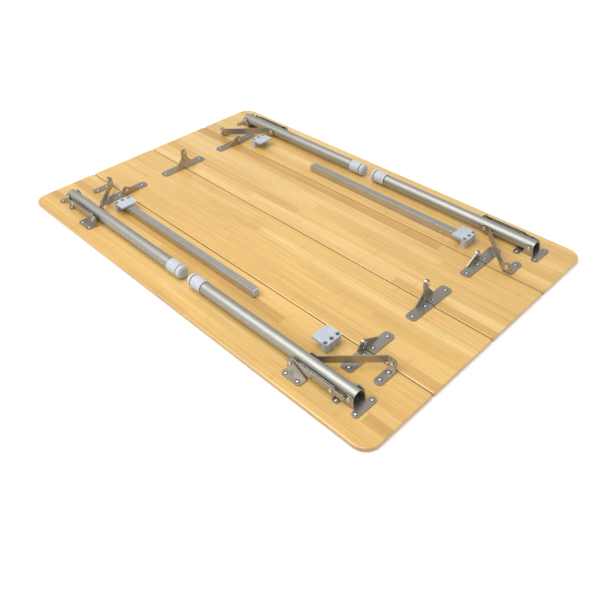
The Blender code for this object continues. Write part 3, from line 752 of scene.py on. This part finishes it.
# --- rivets -------------------------------------------------------------------------------------
def rivet_cap_mesh():
    """A hollow rivet's head: a rounded rim about a shallow well."""
    profile = [(-RIVET_SINK, RIVET_RADIUS, 0)]
    profile += [(RIVET_HEIGHT * height, RIVET_RADIUS * radius, 0) for height, radius in RIVET_PROFILE]
    return turned(profile, SCREW_SIDES)


def hinge_rivets(joints):
    """The places and directions of the caps on both ends of each hinge's rivet, by body."""
    found = defaultdict(list)
    rows = [("middle_fold", "middle_{}_hinge_front_leaf", "front_inner_panel")]
    rows += [(f"{p}_fold", f"{p}_{{}}_hinge_inner_leaf", f"{p}_inner_panel") for p in ("front", "back")]
    for joint, leaf, body in rows:
        _, y, z = joints[joint]
        for end, side in (("left", -1), ("right", 1)):
            inner = end_of(leaf.format(end), X, -side)
            outer = inner + side * HINGE_RIVET_LONG
            found[body] += [((inner, y, z), (-side, 0, 0)), ((outer, y, z), (side, 0, 0))]
    return found


def leg_rivets(joints):
    """The places and directions of the caps of each corner's clevis, strut and lock, by body."""
    found = defaultdict(list)
    for corner, (x_side, y_side) in CORNERS.items():
        panel = panel_under(corner)
        leg = joints[f"{corner}_leg_fold"]
        lock = joints[f"{corner}_handle_link_turn"]
        strut = f"{corner}_strut"
        link = f"{corner}_lock_leg_link"
        bracket_y = end_of(f"{corner}_strut_bracket", Y, -y_side)
        strut_x = end_of(strut, X, -x_side) + x_side * height_of(strut) / 2
        tube_y = end_of(f"{corner}_outer_tube", Y, -y_side)
        knee_x = end_of(link, X, x_side) - x_side * height_of(link) / 2
        knee_y = end_of(f"{corner}_lock_handle_link", Y, y_side)
        rows = [
            (panel, (leg.x, leg.y - CLEVIS_RIVET_OUT, leg.z), -1),
            (panel, (leg.x, leg.y + CLEVIS_RIVET_OUT, leg.z), 1),
            (panel, (leg.x, bracket_y, leg.z), -y_side),
            (panel, (leg.x, bracket_y + y_side * STRUT_RIVET_LONG, leg.z), y_side),
            (f"{corner}_leg", (strut_x, tube_y, leg.z), -y_side),
            (panel, (lock.x, lock.y + y_side * LOCK_RIVET_OUT, lock.z), y_side),
            (f"{corner}_handle_link", (knee_x, knee_y, leg.z), y_side),
        ]
        for body, place, outward in rows:
            found[body].append((place, (0, outward, 0)))
    return found


def add_rivet_caps(joints, materials):
    """Every rivet cap."""
    cap = rivet_cap_mesh()
    for kind, found in {"hinge": hinge_rivets(joints), "leg": leg_rivets(joints)}.items():
        for body, rivets in found.items():
            parts = [(cap, facing(place, direction)) for place, direction in rivets]
            add_piece(f"{body}_{kind}_rivet_caps", parts, materials["screw"], body)


# --- feet, collars and plugs --------------------------------------------------------------------
def foot_mesh(length):
    """A fluted foot with a rounded rim, whose +Z points to the tip."""
    profile = [
        (0, FOOT_RADIUS - FOOT_EDGE_IN, 0),
        (FOOT_EDGE_LONG, FOOT_RADIUS, 0),
        (FOOT_RIM_LONG, FOOT_RADIUS, FLUTE_DEPTH),
    ]
    for i in range(FOOT_ROUND_STEPS + 1):
        angle = math.pi / 2 * i / FOOT_ROUND_STEPS
        height = length - FOOT_ROUND * (1 - math.sin(angle))
        radius = FOOT_RADIUS - FOOT_ROUND * (1 - math.cos(angle))
        profile.append((height, radius, FLUTE_DEPTH * math.cos(angle) ** 2))
    return turned(profile, FOOT_FLUTES * FOOT_FLUTE_STEPS, flutes=FOOT_FLUTES)


def foot_ribs(length):
    """Straight ribs across the foot's flat end."""
    ribs = []
    reach = FOOT_RADIUS - FOOT_ROUND
    for row in range(-RIB_ROWS, RIB_ROWS + 1):
        across = row * RIB_PITCH
        long = math.sqrt(reach**2 - across**2)
        rings = []
        for height, share in RIB_PROFILE:
            half_long = long - (1 - share) * MM
            rings.append(oblong(half_long, RIB_WIDTH / 2 * share, length + height, across))
        ribs.append(rings_mesh(rings))
    return ribs


def collar_mesh(length, radius, bore):
    """A grip ring with long flutes and an open bore, which starts one groove's length from the tube."""
    edge = TUBE_GROOVE_LONG + COLLAR_EDGE
    start = TUBE_GROOVE_LONG + COLLAR_RIM
    end = length - COLLAR_RIM
    profile = [
        (TUBE_GROOVE_LONG, bore, 0),
        (TUBE_GROOVE_LONG, radius - COLLAR_EDGE, 0),
        (edge, radius, 0),
        (start, radius, 0),
        (start + FLUTE_RUN, radius, FLUTE_DEPTH),
        (end - FLUTE_RUN, radius, FLUTE_DEPTH),
        (end, radius, 0),
    ]
    profile += [(length - short, radius - inset, 0) for short, inset in COLLAR_TIP]
    profile.append((length, bore, 0))
    sides = COLLAR_FLUTES * COLLAR_FLUTE_STEPS
    return turned(profile, sides, closed_ends=False, flutes=COLLAR_FLUTES)


def groove_shadow_meshes(length, radius, bore):
    """Black rings at the floors of the grooves at both ends of the collar: painted shade in the grooves.
    """
    reach = radius - GROOVE_SHADOW_DEPTH
    grooves = [(0, TUBE_GROOVE_LONG), (length, length + FOOT_GROOVE - GAP)]
    return [
        turned([(a, bore, 0), (a, reach, 0), (b, reach, 0), (b, bore, 0)], closed_ends=False)
        for a, b in grooves
    ]


def plug_mesh(axis, side, tube_end, tube_radius):
    """The black core in the tube's open end: hollow, drilled for the pin and cut off with the tube."""
    radius = tube_radius - TUBE_WALL - PLUG_PLAY
    plug = turned([(0, radius, 0), (PLUG_LONG, radius, 0)], PLUG_SIDES)
    floor = (PLUG_LONG - PLUG_WELL, radius * WELL_FLOOR, 0)
    mouth = (PLUG_LONG + MM, radius * WELL_MOUTH, 0)
    core = boolean_cut(plug, turned([floor, mouth], WELL_SIDES))
    start = tube_end - PLUG_INSET - PLUG_LONG
    core.transform(facing((side * start, axis.y, axis.z), (side, 0, 0)))
    hole = turned([(-tube_radius, PIN_HOLE, 0), (tube_radius, PIN_HOLE, 0)], HOLE_SIDES)
    hole.transform(facing(axis, (0, 1, 0)))
    reach = tube_radius + CUT_PAST
    slope = [
        (tube_end + CUT_PAST, SLOPE_TOP),
        (abs(axis.x) - SLOPE_FOOT, -reach),
        (tube_end + CUT_PAST, -reach),
    ]
    wedge = [[(side * x, axis.y + y, axis.z + z) for x, z in slope] for y in (-reach, reach)]
    return boolean_cut(boolean_cut(core, hole), rings_mesh(wedge))


def add_foot(corner, x_side, axis, materials):
    """The ribbed foot on the inner tube's end."""
    top = abs(end_of(f"{corner}_collar", X, -x_side)) - FOOT_GROOVE
    tip = abs(end_of(f"{corner}_foot_tube", X, -x_side)) - FOOT_PROUD
    turn = facing((x_side * top, axis.y, axis.z), (-x_side, 0, 0))
    meshes = [foot_mesh(top - tip)] + foot_ribs(top - tip)
    foot = [(mesh, turn) for mesh in meshes]
    add_piece(f"{corner}_foot", foot, materials["grip"], f"{corner}_foot_tube")


def add_collar(corner, x_side, axis, materials):
    """The twist collar's fluted grip, in place of the CAD's plain one, and the black rings of painted
    shade in its grooves.
    """
    start = abs(end_of(f"{corner}_outer_tube", X, -x_side)) - GAP
    length = start - abs(end_of(f"{corner}_collar", X, -x_side))
    radius = height_of(f"{corner}_collar") / 2
    size = (length, radius, radius - COLLAR_WALL)
    turn = facing((x_side * start, axis.y, axis.z), (-x_side, 0, 0))
    grip = [(collar_mesh(*size), turn)]
    collar = add_piece(f"{corner}_grip", grip, materials["grip"], f"{corner}_collar")
    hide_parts(f"{corner}_collar")
    # Black rings of painted shade in the collar's grooves.
    groove_shadows = [(mesh, turn) for mesh in groove_shadow_meshes(*size)]
    add_piece(f"{corner}_seals", groove_shadows, materials["black"], f"{corner}_collar")


def add_plug(corner, x_side, axis, materials):
    """The black plug in the leg tube's open end."""
    tube = f"{corner}_outer_tube"
    plug = plug_mesh(axis, x_side, abs(end_of(tube, X, x_side)), height_of(tube) / 2)
    parts = [(plug, Matrix.Identity(4))]
    add_piece(f"{corner}_tube_plug", parts, materials["black"], f"{corner}_leg")


def add_leg_ends(joints, materials):
    """What each leg has at its ends."""
    for corner, (x_side, _) in CORNERS.items():
        axis = joints[f"{corner}_leg_fold"]
        add_foot(corner, x_side, axis, materials)
        add_collar(corner, x_side, axis, materials)
        add_plug(corner, x_side, axis, materials)


def add_bar_caps(materials):
    """A plastic cap in the free end of each locking bar."""
    for part, side in (("front", 1), ("back", -1)):
        bar = f"{part}_bar"
        half = height_of(bar) / 2
        rings = []
        for reach, inset in CAP_RINGS:
            rings.append([(y, z, reach) for y, z in rounded_square(half - inset, CAP_CORNER)])
        y, z = ((end_of(bar, axis, -1) + end_of(bar, axis, 1)) / 2 for axis in (Y, Z))
        turn = facing((end_of(bar, X, side), y, z), (side, 0, 0))
        add_piece(f"{part}_bar_cap", [(rings_mesh(rings), turn)], materials["grip"], bar)


# --- stage --------------------------------------------------------------------------------------
def add_camera():
    """The camera, from its direction, its roll and the table's place in its view."""
    azimuth, elevation, roll = (math.radians(a) for a in (CAMERA_AZIMUTH, CAMERA_ELEVATION, CAMERA_ROLL))
    level = Vector((math.cos(azimuth), math.sin(azimuth), 0))
    toward = Vector((math.sin(azimuth), -math.cos(azimuth), 0))
    back = toward * math.cos(elevation) + Vector((0, 0, math.sin(elevation)))
    upright = back.cross(level)
    right = math.cos(roll) * level + math.sin(roll) * upright
    up = back.cross(right)
    camera = bpy.data.objects.new("camera", bpy.data.cameras.new("camera"))
    camera.data.lens = CAMERA_LENS_MM
    camera.data.sensor_width = SENSOR_MM
    turn = Matrix((right, up, back)).transposed()
    place = turn @ Vector(CAMERA_OFFSET)
    camera.matrix_world = Matrix.Translation(place) @ turn.to_4x4()
    bpy.context.scene.collection.objects.link(camera)
    bpy.context.scene.camera = camera


def add_area_light(name, place, size, watts):
    """A square light that faces the table's middle."""
    data = bpy.data.lights.new(name, "AREA")
    data.shape = "SQUARE"
    data.size = size
    data.energy = watts
    light = bpy.data.objects.new(name, data)
    light.location = place
    light.rotation_euler = (-Vector(place)).to_track_quat("-Z", "Y").to_euler()
    bpy.context.scene.collection.objects.link(light)


def add_floor():
    """The pale floor."""
    mesh = bpy.data.meshes.new("floor")
    corners = [(x * FLOOR_HALF, y * FLOOR_HALF, -FLOOR_DROP) for x, y in QUADRANTS]
    mesh.from_pydata(corners, [], [(0, 1, 2, 3)])
    mesh.materials.append(floor_material())
    floor = bpy.data.objects.new("floor", mesh)
    bpy.context.scene.collection.objects.link(floor)


def add_stage():
    """The floor, a white sky and two soft lights."""
    add_floor()
    world = bpy.data.worlds.new("sky")
    world.use_nodes = True
    world.node_tree.nodes["Background"].inputs["Color"].default_value = WHITE
    world.node_tree.nodes["Background"].inputs["Strength"].default_value = WORLD_STRENGTH
    bpy.context.scene.world = world
    add_area_light("key", KEY_PLACE, KEY_SIZE, KEY_WATTS)
    add_area_light("fill", FILL_PLACE, FILL_SIZE, FILL_WATTS)
    bpy.context.scene.view_settings.view_transform = "Standard"


def main():
    """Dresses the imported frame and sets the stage."""
    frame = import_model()
    joints = joint_places(frame)
    materials = make_materials()
    dress_nodes(frame, materials)
    add_screws(joints, materials)
    add_rivet_caps(joints, materials)
    add_leg_ends(joints, materials)
    add_bar_caps(materials)
    add_stage()
    add_camera()


main()
